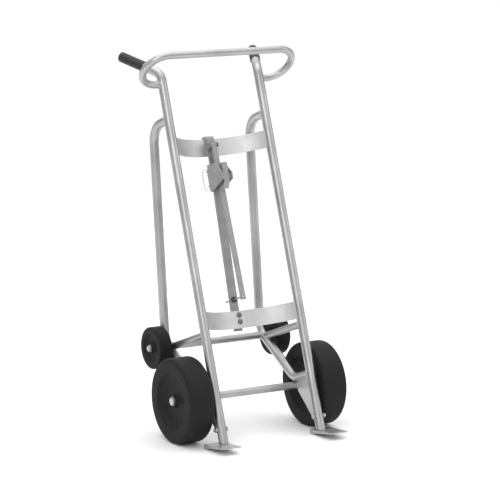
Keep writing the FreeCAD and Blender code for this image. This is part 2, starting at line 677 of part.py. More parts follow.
def mast_v(w):
    """The mast's mid-plane at a height above its kink."""
    return mast_low_v + mast_slope * (w - MAST_KINK_W)


half_wide = P["mast_wide"] / 2
mast = strap("mast_strap", MAST_LINE, [60.0, 60.0, FOLD_BEND], P["mast_thick"], -half_wide, half_wide)
bush_v = mast_v(P["rod_w"])
BUSH_R = 8.0
holes = [bar_along(f"mast_hole_{i}", MAST_HOLE_DIA, Vector(0, 70, w), V_AXIS, 70)
         for i, w in enumerate(BOLT_W)]
bush_hole = bar_along("mast_bush_hole", 2 * BUSH_R, Vector(0, 70, P["rod_w"]), V_AXIS, 70)
hook_mast = emit("hook_mast", cut("mast_cut", mast, *holes, bush_hole))

HEAD_DIA = 21.0
HEAD_TOP_DIA = 10.0
HEAD_HIGH = 5.0
MAST_NUT = (17.0, 8.0)
bolts = []
nuts = []
mast_back = mast_low_v + half_mast
# The band is curved, so a flat head touches it at the head's edge and stands off at the middle.
head_v = band_front - (HEAD_DIA / 2) ** 2 / (2 * (band_r - P["band_thick"] / 2)) - 0.05
for i, w in enumerate(BOLT_W):
    shank = bar_along(f"mast_shank_{i}", P["mast_bolt_dia"], Vector(0, head_v - 1, w), V_AXIS,
                      mast_back - head_v + 14)
    head = doc.addObject("Part::Cone", f"mast_head_{i}")
    head.Radius1 = HEAD_TOP_DIA / 2
    head.Radius2 = HEAD_DIA / 2
    head.Height = HEAD_HIGH
    head.Placement = LEAN.multiply(Placement(Vector(0, head_v - HEAD_HIGH, w), Rotation(W_AXIS, V_AXIS)))
    bolts.append(fuse(f"mast_bolt_{i}", shank, head))
    nut = doc.addObject("Part::Prism", f"mast_nut_hex_{i}")
    nut.Polygon = 6
    nut.Circumradius = MAST_NUT[0] / math.sqrt(3)
    nut.Height = MAST_NUT[1]
    nut.Placement = LEAN.multiply(Placement(Vector(0, mast_back, w), Rotation(W_AXIS, V_AXIS)))
    thread = bar_along(f"mast_thread_{i}", P["mast_bolt_dia"], Vector(0, mast_back - 5, w), V_AXIS, 30)
    nuts.append(cut(f"mast_nut_{i}", nut, thread))
emit("mast_bolts", group("mast_bolts_all", *bolts))
emit("mast_nuts", group("mast_nuts_all", *nuts))
# Plain sleeves on the bolts hold the mast off the band.
SLEEVE_DIA = 16.0
SLEEVE_FIT = 0.02
mast_front = mast_low_v - half_mast
sleeves = []
for i, w in enumerate(BOLT_W):
    start = Vector(0, band_back + SLEEVE_FIT, w)
    sleeve = bar_along(f"mast_sleeve_{i}", SLEEVE_DIA, start, V_AXIS, mast_front - band_back - 2 * SLEEVE_FIT)
    way = bar_along(f"mast_sleeve_bore_{i}", MAST_HOLE_DIA, start - V_AXIS, V_AXIS, 30)
    sleeves.append(cut(f"mast_spacer_{i}", sleeve, way))
emit("mast_spacers", group("mast_spacers_all", *sleeves))

# Rubber bush in the mast that the guide rod passes through.
bush_front = bush_v - half_mast - 4.0
flange = bar_along("bush_flange", 21.0, Vector(0, bush_front, P["rod_w"]), V_AXIS, 5.0)
barrel = bar_along("bush_barrel", 2 * BUSH_R, Vector(0, bush_front, P["rod_w"]), V_AXIS, 15.0)
BUSH_BORE = 13.4
bore = bar_along("bush_bore", BUSH_BORE, Vector(0, bush_front - 5, P["rod_w"]), V_AXIS, 40)
emit("mast_bush", cut("bush_cut", fuse("bush_whole", flange, barrel), bore, copy_of(hook_mast, "bush_tool")))

# ---------------------------------------------------------------- hook bar and its hinge
KNUCKLE_R = 6.2
PIN_DIA = 6.0
LUG_IN = 12.0
LUG_OUT = 16.0
lugs = []
LUG = [(52, 1066), (82, 1060), (82, 1086), (52, 1080)]
for side_name, s in SIDES:
    plate = prism(side_name + "_lug_plate", LUG, *ordered(s, LUG_IN, LUG_OUT))
    hole = rod(side_name + "_lug_hole", PIN_DIA, -30, 30, P["bar_v"], P["bar_pivot_w"])
    lugs.append(cut(side_name + "_lug", plate, copy_of(hook_mast, side_name + "_lug_tool"), hole))
emit("hinge_lugs", group("hinge_lugs_all", *lugs))
emit("hinge_pin", rod("hinge_pin_rod", PIN_DIA, -LUG_OUT - 3, LUG_OUT + 3, P["bar_v"], P["bar_pivot_w"]))

bar_slope = (P["bar_v"] - P["bar_foot_v"]) / (P["bar_pivot_w"] - P["bar_foot_w"])
half_thick = P["bar_thick"] / 2


def bar_front(w):
    """Front face of the hook bar at a height."""
    return P["bar_foot_v"] + bar_slope * (w - P["bar_foot_w"]) - half_thick


foot_w = P["bar_foot_w"]
head_w = P["bar_pivot_w"] + 1
BAR_OUTLINE = [(bar_front(foot_w), foot_w), (bar_front(foot_w) + P["bar_thick"], foot_w),
               (bar_front(head_w) + P["bar_thick"], head_w), (bar_front(head_w), head_w)]
half_bar = P["bar_wide"] / 2
blade = prism("bar_blade", BAR_OUTLINE, -half_bar, half_bar)
knuckle = rod("bar_knuckle", 2 * KNUCKLE_R, -half_bar, half_bar, P["bar_v"], P["bar_pivot_w"])
pin_bore = rod("bar_pin_bore", PIN_DIA + 0.1, -30, 30, P["bar_v"], P["bar_pivot_w"])
rod_bore = bar_along("bar_rod_bore", P["rod_dia"], Vector(0, 20, P["rod_w"]), V_AXIS, 60)
emit("hook_bar", cut("bar_cut", fuse("bar_whole", blade, knuckle), pin_bore, rod_bore))
ROD_END = 167.0
CLIP_V = 160.0
CLIP_DIA = 3.0
rod_front = bar_front(P["rod_w"])
stem = bar_along("rod_stem", P["rod_dia"], Vector(0, rod_front, P["rod_w"]), V_AXIS, ROD_END - rod_front)
clip_hole = rod("rod_clip_hole", CLIP_DIA, -20, 20, CLIP_V, P["rod_w"])
emit("guide_rod", cut("rod_cut", stem, clip_hole))
emit("rod_clip", rod("rod_clip_pin", CLIP_DIA, -9, 9, CLIP_V, P["rod_w"]))

# ---------------------------------------------------------------- chime hook
# Two cheeks astride the mast and the bar, a front plate, and a lip that hangs from the plate.
CHEEK = [(0, 936), (0, 959), (42, 1003), (98, 1007), (103, 909), (90, 907)]
CHEEK_IN = 17.0
CHEEK_OUT = 22.0
FRONT_LINE = [(10.5, 998.0), (10.5, 935.0), (28.0, 905.0)]
FRONT_HALF = 11.0
WEB = [(8, 938), (13, 938), (13, 957), (8, 957)]
cheeks = [prism(side_name + "_cheek", CHEEK, *ordered(s, CHEEK_IN, CHEEK_OUT)) for side_name, s in SIDES]
front = strap("hook_front", FRONT_LINE, [10.0], 5.0, -FRONT_HALF, FRONT_HALF)
web = prism("hook_web", WEB, -CHEEK_OUT + 1, CHEEK_OUT - 1)
EYES = (931.0, 984.0)
RING_V = 108.0
ring_x = -(CHEEK_IN + CHEEK_OUT) / 2
eyes = [prism(f"eye_{i}", [(95, w - 2.5), (112, w - 2.5), (112, w + 2.5), (95, w + 2.5)],
        -CHEEK_OUT, -CHEEK_IN)
        for i, w in enumerate(EYES)]
PINS = [(49.0, 975.0, 8.0), (63.0, 930.0, 6.0)]
holes = [rod(f"cheek_hole_{i}", dia, -40, 40, v, w) for i, (v, w, dia) in enumerate(PINS)]
RING_FIT = 0.12
ring_hole = bar_along("ring_hole", P["ring_wire"] + RING_FIT, Vector(ring_x, RING_V, 900), W_AXIS, 120)
emit("chime_hook", cut("hook_cut", fuse("hook_whole", *cheeks, front, web, *eyes), *holes, ring_hole))
emit("guide_pins", group("guide_pins_all", *[rod(f"guide_pin_{i}", dia, -CHEEK_OUT - 0.5,
        CHEEK_OUT + 0.5, v, w)
                                             for i, (v, w, dia) in enumerate(PINS)]))

# Pull ring: a D of round wire, its straight leg turning in the two eyes.
ring_path = [(0, 0), (36.5, 0), (36.5, 38), (-36.5, 38), (-36.5, 0), (-0.5, 0)]
ring_middle = sum(EYES) / 2
emit("pull_ring", tube("ring_tube", ring_path, [6, 17, 17, 6], Vector(ring_x, RING_V, ring_middle),
                       W_AXIS, V_AXIS, "ring_wire", None))

# ---------------------------------------------------------------- checks and export
doc.recompute()
os.makedirs("parts", exist_ok=True)
faults = []
for obj in doc.Objects:
    if "Invalid" in obj.State or "Error" in obj.State:
        faults.append(f"{obj.Name}: {obj.State}")
for obj in outputs:
    if obj.Shape.isNull() or not obj.Shape.isValid():
        faults.append(f"{obj.Label}: shape is null or not valid")
if faults:
    raise RuntimeError("; ".join(faults))
for obj in outputs:
    box = obj.Shape.optimalBoundingBox(False, False)
    print(f"{obj.Label:18s} solids {len(obj.Shape.Solids)} volume {obj.Shape.Volume / 1000:9.1f} cm3 "
          f"x {box.XMin:7.1f} {box.XMax:7.1f} "
          f"y {box.YMin:7.1f} {box.YMax:7.1f} z {box.ZMin:7.1f} {box.ZMax:7.1f}")
    obj.Shape.exportStep(f"parts/{obj.Label}.step")
print(len(outputs), "sub-parts")
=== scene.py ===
import json
import math
import random

import bmesh
import bpy
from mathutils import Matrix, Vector
from mathutils.bvhtree import BVHTree


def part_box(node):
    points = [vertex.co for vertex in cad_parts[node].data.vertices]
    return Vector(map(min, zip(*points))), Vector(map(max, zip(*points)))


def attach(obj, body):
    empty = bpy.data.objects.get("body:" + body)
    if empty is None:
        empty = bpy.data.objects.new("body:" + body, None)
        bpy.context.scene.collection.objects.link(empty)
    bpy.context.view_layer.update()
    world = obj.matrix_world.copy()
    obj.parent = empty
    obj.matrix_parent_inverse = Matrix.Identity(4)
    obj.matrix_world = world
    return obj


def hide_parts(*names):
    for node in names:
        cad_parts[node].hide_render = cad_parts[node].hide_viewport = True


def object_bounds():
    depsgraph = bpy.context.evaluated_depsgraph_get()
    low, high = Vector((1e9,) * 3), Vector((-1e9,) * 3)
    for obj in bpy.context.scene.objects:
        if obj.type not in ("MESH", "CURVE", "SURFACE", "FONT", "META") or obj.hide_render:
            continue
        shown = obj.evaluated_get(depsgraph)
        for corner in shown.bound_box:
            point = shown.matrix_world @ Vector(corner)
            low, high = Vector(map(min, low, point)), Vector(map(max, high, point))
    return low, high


# Looks of a four-wheeled drum dolly. Metres, +X across the rails, +Y to the rear, +Z up.
# "Rail axes" are those of the leaning rails: v runs rearward from them and w runs up along them.

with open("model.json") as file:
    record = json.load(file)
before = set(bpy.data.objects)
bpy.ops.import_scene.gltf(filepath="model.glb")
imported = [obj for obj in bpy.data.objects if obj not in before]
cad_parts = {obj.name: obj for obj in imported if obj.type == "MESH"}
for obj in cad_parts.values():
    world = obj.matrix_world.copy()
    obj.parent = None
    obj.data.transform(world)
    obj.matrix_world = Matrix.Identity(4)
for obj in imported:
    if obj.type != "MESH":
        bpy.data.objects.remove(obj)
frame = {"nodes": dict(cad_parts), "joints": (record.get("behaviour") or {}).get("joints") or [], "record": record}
CAD_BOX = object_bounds()

random.seed(41)

# ---------------------------------------------------------------- places, from the frame
X = Vector((1, 0, 0))
JOINTS = {joint["name"]: joint for joint in frame["joints"]}
W = Vector(JOINTS["pull_ring_swing"]["axis"]).normalized()
V = W.cross(X)
HINGE_V = 0.061
HINGE_W = 1.073
RAIL_ORIGIN = Vector(JOINTS["hook_bar_swing"]["pos_m"]) - HINGE_V * V - HINGE_W * W
SIDES = (("left", -1), ("right", 1))


def at(x, v, w):
    """A point given in the rail axes."""
    return RAIL_ORIGIN + x * X + v * V + w * W


def middle(node):
    """Middle of a node's box."""
    low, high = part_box(node)
    return (low + high) / 2


def size(node):
    """Lengths of a node's box."""
    low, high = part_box(node)
    return high - low


GAUGE_HALF = middle("right_rear_tube").x
PIPE_R = size("right_rear_tube").x / 2
SMALL_R = 0.01335
GUSSET_HALF = size("right_gusset").x / 2

# ---------------------------------------------------------------- materials


def new_material(name, metallic=0.0, specular=0.5, coat=0.0, coat_rough=0.1):
    """A node material with its uniform values set on the shader."""
    made = bpy.data.materials.new(name)
    made.use_nodes = True
    shader = made.node_tree.nodes["Principled BSDF"]
    shader.inputs["Metallic"].default_value = metallic
    shader.inputs["Specular IOR Level"].default_value = specular
    if coat:
        shader.inputs["Coat Weight"].default_value = coat
        shader.inputs["Coat Roughness"].default_value = coat_rough
    return made, made.node_tree, shader


def coordinates(tree, stretch=None, along_rails=False):
    """Object coordinates, drawn out by `stretch` along the object's or the rails' axes."""
    source = tree.nodes.new("ShaderNodeTexCoord").outputs["Object"]
    if stretch is None:
        return source
    mapping = tree.nodes.new("ShaderNodeMapping")
    mapping.vector_type = "TEXTURE"
    mapping.inputs["Scale"].default_value = stretch
    if along_rails:
        mapping.inputs["Rotation"].default_value = (-math.atan2(W.y, W.z), 0, 0)
    tree.links.new(source, mapping.inputs["Vector"])
    return mapping.outputs["Vector"]


def noise(tree, vector, scale, detail=3.0, rough=0.5):
    """A noise texture's value."""
    node = tree.nodes.new("ShaderNodeTexNoise")
    node.inputs["Scale"].default_value = scale
    node.inputs["Detail"].default_value = detail
    node.inputs["Roughness"].default_value = rough
    tree.links.new(vector, node.inputs["Vector"])
    return node.outputs["Fac"]


def voronoi(tree, vector, scale, feature="F1"):
    """Distance field of a Voronoi texture."""
    node = tree.nodes.new("ShaderNodeTexVoronoi")
    node.feature = feature
    node.inputs["Scale"].default_value = scale
    tree.links.new(vector, node.inputs["Vector"])
    return node.outputs["Distance"]


def remap(tree, value, low, high, to_low, to_high):
    """A value's range mapped on to another one."""
    node = tree.nodes.new("ShaderNodeMapRange")
    for key, number in (("From Min", low), ("From Max", high), ("To Min", to_low), ("To Max", to_high)):
        node.inputs[key].default_value = number
    tree.links.new(value, node.inputs["Value"])
    return node.outputs["Result"]


def math_node(tree, operation, first, second):
    """Two values combined; the second may be a number."""
    node = tree.nodes.new("ShaderNodeMath")
    node.operation = operation
    tree.links.new(first, node.inputs[0])
    if isinstance(second, (int, float)):
        node.inputs[1].default_value = second
    else:
        tree.links.new(second, node.inputs[1])
    return node.outputs["Value"]


def blend(tree, first, share, second):
    """A weighted sum of two textures. The second takes what the first leaves."""
    left = math_node(tree, "MULTIPLY", first, share)
    right = math_node(tree, "MULTIPLY", second, round(1 - share, 6))
    return math_node(tree, "ADD", left, right)


def colours(tree, value, stops):
    """A colour ramp: each stop is a place and a grey or an RGB colour."""
    node = tree.nodes.new("ShaderNodeValToRGB")
    ramp = node.color_ramp
    while len(ramp.elements) < len(stops):
        ramp.elements.new(0.5)
    for element, (place, tone) in zip(ramp.elements, stops):
        rgb = (tone, tone, tone) if isinstance(tone, float) else tone
        element.position = place
        element.color = (*rgb, 1.0)
    tree.links.new(value, node.inputs["Fac"])
    return node.outputs["Color"]


def bump(tree, shader, height, strength, depth):
    """Surface relief of the given depth in metres."""
    node = tree.nodes.new("ShaderNodeBump")
    node.inputs["Strength"].default_value = strength
    node.inputs["Distance"].default_value = depth
    tree.links.new(height, node.inputs["Height"])
    tree.links.new(node.outputs["Normal"], shader.inputs["Normal"])


def bright_metal(name, dark, light, rough, stretch, along_rails=True, grain_depth=0.00004):
    """Satin metal: drawn grain, cloudy oxide and hand smudges."""
    made, tree, shader = new_material(name, metallic=1.0)
    grain = noise(tree, coordinates(tree, stretch, along_rails), 900.0, 4.0, 0.6)
    cloud = noise(tree, coordinates(tree), 9.0, 4.0, 0.55)
    smudge = noise(tree, coordinates(tree), 34.0, 5.0, 0.65)
    tone = blend(tree, grain, 0.45, cloud)
    tree.links.new(colours(tree, tone, [(0.36, dark), (0.64, light)]), shader.inputs["Base Color"])
    wear = blend(tree, smudge, 0.6, grain)
    tree.links.new(remap(tree, wear, 0.35, 0.68, rough - 0.06, rough + 0.09), shader.inputs["Roughness"])
    bump(tree, shader, grain, 0.5, grain_depth)
    return made


def rubber(name, tone, rough, pore_scale, pore_depth, dust=0.012):
    """Moulded rubber: fine pores and a little dust."""
    made, tree, shader = new_material(name, specular=0.25)
    vector = coordinates(tree)
    pores = noise(tree, vector, pore_scale, 4.0, 0.6)
    film = noise(tree, vector, 13.0, 5.0, 0.6)
    tree.links.new(colours(tree, film, [(0.35, tone), (0.72, tone + dust)]), shader.inputs["Base Color"])
    tree.links.new(remap(tree, film, 0.3, 0.7, rough - 0.05, rough + 0.09), shader.inputs["Roughness"])
    bump(tree, shader, pores, 0.55, pore_depth)
    return made


def grip_rubber():
    """Grip rubber with a close pebble texture."""
    made, tree, shader = new_material("grip_rubber", specular=0.45)
    vector = coordinates(tree)
    pebble = voronoi(tree, vector, 620.0, "SMOOTH_F1")
    film = noise(tree, vector, 60.0, 4.0)
    tree.links.new(colours(tree, film, [(0.3, 0.012), (0.75, 0.024)]), shader.inputs["Base Color"])
    tree.links.new(remap(tree, film, 0.3, 0.7, 0.46, 0.62), shader.inputs["Roughness"])
    bump(tree, shader, pebble, 0.5, 0.0003)
    return made


def grey_steel():
    """Dull grey plated steel: mill texture with lighter rubbed patches."""
    made, tree, shader = new_material("grey_steel", metallic=0.7)
    mill = noise(tree, coordinates(tree, (1, 1, 8), True), 420.0, 5.0, 0.6)
    patch = noise(tree, coordinates(tree), 28.0, 5.0, 0.6)
    tone = blend(tree, mill, 0.4, patch)
    tree.links.new(colours(tree, tone, [(0.34, 0.26), (0.66, 0.37)]), shader.inputs["Base Color"])
    tree.links.new(remap(tree, tone, 0.35, 0.65, 0.42, 0.58), shader.inputs["Roughness"])
    bump(tree, shader, mill, 0.5, 0.00008)
    return made


def forged_steel():
    """Forged plate: scale pits and a scuffed, uneven skin."""
    made, tree, shader = new_material("forged_toe", metallic=0.75)
    vector = coordinates(tree)
    pits = voronoi(tree, vector, 240.0)
    skin = noise(tree, vector, 75.0, 6.0, 0.65)
    scuff = noise(tree, coordinates(tree, (1, 9, 1)), 210.0, 4.0, 0.6)
    tone = blend(tree, skin, 0.6, scuff)
    tree.links.new(colours(tree, tone, [(0.33, 0.3), (0.5, 0.42), (0.68, 0.58)]), shader.inputs["Base Color"])
    tree.links.new(remap(tree, tone, 0.35, 0.65, 0.52, 0.34), shader.inputs["Roughness"])
    height = math_node(tree, "ADD", math_node(tree, "MULTIPLY", pits, 0.5), skin)
    bump(tree, shader, height, 0.6, 0.0004)
    return made


def weld_metal():
    """Weld beads: greyer than the pipe, with a fine frozen ripple."""
    made, tree, shader = new_material("weld_metal", metallic=1.0)
    vector = coordinates(tree)
    ripple = noise(tree, vector, 520.0, 4.0, 0.6)
    heat = noise(tree, vector, 70.0, 3.0)
    tree.links.new(colours(tree, heat, [(0.35, (0.36, 0.355, 0.35)), (0.66, (0.56, 0.56, 0.565))]),
                   shader.inputs["Base Color"])
    tree.links.new(remap(tree, ripple, 0.3, 0.7, 0.34, 0.52), shader.inputs["Roughness"])
    bump(tree, shader, ripple, 0.6, 0.0002)
    return made


def floor_finish():
    """White studio floor with a barely visible unevenness."""
    made, tree, shader = new_material("studio_floor", specular=0.2)
    cloud = noise(tree, coordinates(tree), 1.3, 4.0)
    tree.links.new(colours(tree, cloud, [(0.3, 0.88), (0.7, 0.9)]), shader.inputs["Base Color"])
    tree.links.new(remap(tree, cloud, 0.3, 0.7, 0.72, 0.82), shader.inputs["Roughness"])
    return made


MATERIALS = {
    "bright_pipe": bright_metal("bright_pipe", 0.36, 0.5, 0.37, (1, 1, 26)),
    "loop_pipe": bright_metal("loop_pipe", 0.36, 0.5, 0.37, (26, 1, 1), False),
    "band_steel": bright_metal("band_steel", 0.5, 0.64, 0.5, (18, 1, 1), False),
    "zinc_hardware": bright_metal("zinc_hardware", 0.4, 0.6, 0.34, (1, 1, 1), False, 0.00006),
    "ring_wire": bright_metal("ring_wire", 0.6, 0.74, 0.34, (1, 1, 1), False, 0.00006),
    "dark_hardware": bright_metal("dark_hardware", 0.12, 0.2, 0.5, (1, 1, 1), False, 0.00006),
    "grey_steel": grey_steel(),
    "forged_toe": forged_steel(),
    "grip_rubber": grip_rubber(),
    "tyre_rubber": rubber("tyre_rubber", 0.006, 0.65, 1300.0, 0.00018, 0.004),
    "wheel_centre": rubber("wheel_centre", 0.0065, 0.6, 700.0, 0.00008, 0.004),
    "weld_metal": weld_metal(),
}
NODE_SLOT = {part["node"]: part["material_slot"] for part in frame["record"]["subparts"]}
SPECIAL = {"handle_loop": "loop_pipe", "axle_tube": "loop_pipe", "rear_cross_tube": "loop_pipe",
           "mast_bolts": "dark_hardware", "pull_ring": "ring_wire"}


def dress(obj, name):
    """Give an object one of the materials."""
    obj.data.materials.clear()
    obj.data.materials.append(MATERIALS[name])


for node_name, node in frame["nodes"].items():
    dress(node, SPECIAL.get(node_name, NODE_SLOT[node_name]))

# ---------------------------------------------------------------- mesh builders


def add_piece(name, mesh, body, slot, material_name=None, nodes=()):
    """Link a finished mesh into the scene as a piece of the object."""
    obj = bpy.data.objects.new(name, mesh)
    bpy.context.scene.collection.objects.link(obj)
    dress(obj, material_name or slot)
    if nodes:
        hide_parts(*nodes)
    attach(obj, body)
    return obj


def mesh_from(name, bm, smooth_angle=40.0):
    """A mesh out of a bmesh, smooth but for its sharp edges."""
    bmesh.ops.recalc_face_normals(bm, faces=bm.faces)
    mesh = bpy.data.meshes.new(name)
    bm.to_mesh(mesh)
    bm.free()
    mesh.polygons.foreach_set("use_smooth", [True] * len(mesh.polygons))
    mesh.set_sharp_from_angle(angle=math.radians(smooth_angle))
    return mesh


def add_lathe(bm, profile, origin, axis, segments):
    """Turn a profile of (along, radius) points round an axis.

    The profile is closed unless it ends on the axis.
    """
    axis = axis.normalized()
    side = axis.orthogonal().normalized()
    other = axis.cross(side)
    rings = []
    for along, radius in profile:
        centre = origin + axis * along
        if radius < 1e-6:
            rings.append([bm.verts.new(centre)])
            continue
        ring = []
        for step in range(segments):
            angle = 2 * math.pi * step / segments
            ring.append(bm.verts.new(centre + radius * (math.cos(angle) * side + math.sin(angle) * other)))
        rings.append(ring)
    pairs = list(zip(rings, rings[1:]))
    if len(rings[0]) > 1 and len(rings[-1]) > 1:
        pairs.append((rings[-1], rings[0]))
    for one, two in pairs:
        for step in range(segments):
            after = (step + 1) % segments
            if len(one) == 1:
                bm.faces.new((one[0], two[step], two[after]))
            elif len(two) == 1:
                bm.faces.new((one[step], two[0], one[after]))
            else:
                bm.faces.new((one[step], two[step], two[after], one[after]))


def round_corners(corners, radii, steps=6, closed=True):
    """Replace each corner of an outline by an arc of its radius."""
    points = []
    count = len(corners)
    for index, (corner, radius) in enumerate(zip(corners, radii)):
        ends = index in (0, count - 1)
        if radius <= 0 or (ends and not closed):
            points.append(corner)
            continue
        here = Vector(corner)
        into = (Vector(corners[index - 1]) - here)
        out = (Vector(corners[(index + 1) % count]) - here)
        half = into.angle(out) / 2
        reach = min(radius / math.tan(half), 0.49 * into.length, 0.49 * out.length)
        turn_r = reach * math.tan(half)
        centre = here + (into.normalized() + out.normalized()).normalized() * (turn_r / math.sin(half))
        start = here + into.normalized() * reach - centre
        end = here + out.normalized() * reach - centre
        sweep = start.angle_signed(end)
        for step in range(steps + 1):
            angle = -sweep * step / steps
            cos_a, sin_a = math.cos(angle), math.sin(angle)
            across = start.x * cos_a - start.y * sin_a
            up = start.x * sin_a + start.y * cos_a
            points.append((centre.x + across, centre.y + up))
    return points


def add_sweep(bm, path, radii, closed, sides=10):
    """A round bead along a path, with a radius at each point and flat caps on open ends."""
    count = len(path)
    rings = []
    normal = None
    for index, point in enumerate(path):
        before = path[index - 1] if closed or index > 0 else point
        after = path[(index + 1) % count] if closed or index < count - 1 else point
        way = (after - before).normalized()
        if normal is None:
            normal = way.orthogonal().normalized()
        normal = (normal - way * normal.dot(way)).normalized()
        other = way.cross(normal)
        ring = []
        for step in range(sides):
            angle = 2 * math.pi * step / sides
            outward = math.cos(angle) * normal + math.sin(angle) * other
            ring.append(bm.verts.new(point + radii[index] * outward))
        rings.append(ring)
    pairs = list(zip(rings, rings[1:]))
    if closed:
        last, first = rings[-1], rings[0]
        shift = min(range(sides), key=lambda k: (first[k].co - last[0].co).length)
        pairs.append((last, first[shift:] + first[:shift]))
    else:
        bm.faces.new(list(reversed(rings[0])))
        bm.faces.new(rings[-1])
    for one, two in pairs:
        for step in range(sides):
            after = (step + 1) % sides
            bm.faces.new((one[step], one[after], two[after], two[step]))


def softened(nodes, bevel, body, slot, name=None):
    """CAD nodes with their sharp edges broken, as real plate and turned parts have them."""
    bm = bmesh.new()
    for node_name in nodes:
        bm.from_mesh(frame["nodes"][node_name].data)
    bmesh.ops.remove_doubles(bm, verts=bm.verts, dist=2e-6)
    bmesh.ops.dissolve_limit(bm, angle_limit=math.radians(0.3), verts=bm.verts, edges=bm.edges)
    label = name or nodes[0] + "_edged"
    mesh = bpy.data.meshes.new(label)
    bm.to_mesh(mesh)
    bm.free()
    mesh.polygons.foreach_set("use_smooth", [True] * len(mesh.polygons))
    obj = add_piece(label, mesh, body, slot, SPECIAL.get(nodes[0]), nodes)
    edge = obj.modifiers.new("edge_break", "BEVEL")
    edge.width = bevel
    edge.segments = 2
    edge.limit_method = "ANGLE"
    edge.angle_limit = math.radians(35)
    edge.miter_outer = "MITER_ARC"
    shade = obj.modifiers.new("flat_faces", "WEIGHTED_NORMAL")
    shade.keep_sharp = True
    shade.weight = 80
    return obj


# ---------------------------------------------------------------- wheels
WHEEL_STEPS = 120


def wheel_profiles(tyre_node, hub_node, shoulder, lip, web_half, boss_r, boss_out, boss_in, bore):
    """Tyre and centre profiles as (outward, radius), fitted to the nodes' boxes."""
    half = size(tyre_node).x / 2
    outer = size(tyre_node).z / 2
    seat = size(hub_node).z / 2
    crown = outer - 0.00005
    tyre = round_corners(
        [(half - lip, seat), (half - 0.0005, seat + lip), (half, (seat + outer) / 2), (half, crown),
         (-half, crown), (-half, (seat + outer) / 2), (-half + 0.0005, seat + lip), (-half + lip, seat)],
        [0.002, lip * 1.4, 0.02, shoulder, shoulder, 0.02, lip * 1.4, 0.002], 8)
    dish = half - lip - 0.0004
    centre = round_corners(
        [(boss_out, bore), (boss_out, boss_r - 0.001), (web_half + 0.003, boss_r + 0.003),
         (web_half, boss_r + 0.012), (web_half, seat - 0.022),
         (dish - 0.006, seat - 0.006), (dish, seat - 0.0002),
         (-dish, seat - 0.0002), (-dish + 0.006, seat - 0.006), (-web_half, seat - 0.022),
         (-web_half, boss_r + 0.012), (-web_half - 0.003, boss_r + 0.003), (-boss_in, boss_r - 0.001),
         (-boss_in, bore)],
        [0.001, 0.004, 0.006, 0.008, 0.012, 0.004, 0, 0, 0.004, 0.012, 0.008, 0.006, 0.003, 0.001], 6)
    return tyre, centre


WHEELS = {
    "main": {"shoulder": 0.02, "lip": 0.0075, "web_half": 0.024, "boss_r": 0.0205, "boss_out": 0.0398,
             "boss_in": 0.0448, "bore": 0.01605},
    "rear": {"shoulder": 0.009, "lip": 0.0042, "web_half": 0.013, "boss_r": 0.0165, "boss_out": 0.0263,
             "boss_in": 0.0263, "bore": 0.01305},
}
for side_name, s in SIDES:
    for stem, sizes in WHEELS.items():
        body = f"{side_name}_{stem}_wheel"
        tyre_node = f"{side_name}_{stem}_tyre"
        hub_node = f"{side_name}_{stem}_hub"
        tyre, centre = wheel_profiles(tyre_node, hub_node, **sizes)
        origin = Vector(JOINTS[body + "_spin"]["pos_m"])
        for label, profile, slot, node_name in (("tyre", tyre, "tyre_rubber", tyre_node),
                                                ("centre", centre, "wheel_centre", hub_node)):
            bm = bmesh.new()
            add_lathe(bm, profile, origin, X * s, WHEEL_STEPS)
            name = f"{side_name}_{stem}_moulded_{label}"
            add_piece(name, mesh_from(name, bm), body, slot, nodes=[node_name])

# Pressed dome caps on the axle ends.
bm = bmesh.new()
CAP_TIP = {"main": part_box("axle_caps")[1].x, "rear": size("rear_axle").x / 2 + 0.0012}
CAP_R = {"main": 0.0149, "rear": 0.0111}
CAP_HIGH = {"main": 0.0059, "rear": 0.0069}
CAP_RINGS = 10
for side_name, s in SIDES:
    for stem in WHEELS:
        axle = Vector(JOINTS[f"{side_name}_{stem}_wheel_spin"]["pos_m"])
        dome_r = CAP_R[stem]
        base = CAP_TIP[stem] - CAP_HIGH[stem]
        skirt = dome_r * 0.16
        dome = [(base, 0.0), (base, dome_r * 0.84), (base, dome_r), (base + skirt, dome_r)]
        rise = CAP_HIGH[stem] - skirt
        for step in range(1, CAP_RINGS + 1):
            angle = math.pi / 2 * step / CAP_RINGS
            radius = dome_r * math.cos(angle) ** 0.8 if step < CAP_RINGS else 0.0
            dome.append((base + skirt + rise * math.sin(angle), radius))
        add_lathe(bm, dome, Vector((0, axle.y, axle.z)), X * s, 48)
add_piece("dome_caps", mesh_from("dome_caps", bm), "frame", "zinc_hardware", nodes=["axle_caps"])

# ---------------------------------------------------------------- grips
CORNER_W = 1.3313
HANDLE_TURN = math.radians(56.2)
HANDLE_FLARE = math.radians(29.0)
GRIP_START = 0.076
GRIP_END = 0.1867
GRIP_R = 0.01875
for side_name, s in SIDES:
    lead = s * math.sin(HANDLE_FLARE) * X + math.cos(HANDLE_FLARE) * V
    handle = math.cos(HANDLE_TURN) * W + math.sin(HANDLE_TURN) * lead
    start = at(s * GAUGE_HALF, 0, CORNER_W) + handle * GRIP_START
    length = GRIP_END - GRIP_START
    wall = PIPE_R + 0.00005
    corners = [(0.0, wall), (0.0, GRIP_R), (length, GRIP_R), (length, 0.0)]
    outline = round_corners(corners, [0.0006, 0.0015, 0.006, 0.0], 8, closed=False)
    bm = bmesh.new()
    add_lathe(bm, outline, start, handle, 72)
    name = side_name + "_moulded_grip"
    add_piece(name, mesh_from(name, bm), "frame", "grip_rubber", nodes=[side_name + "_grip"])

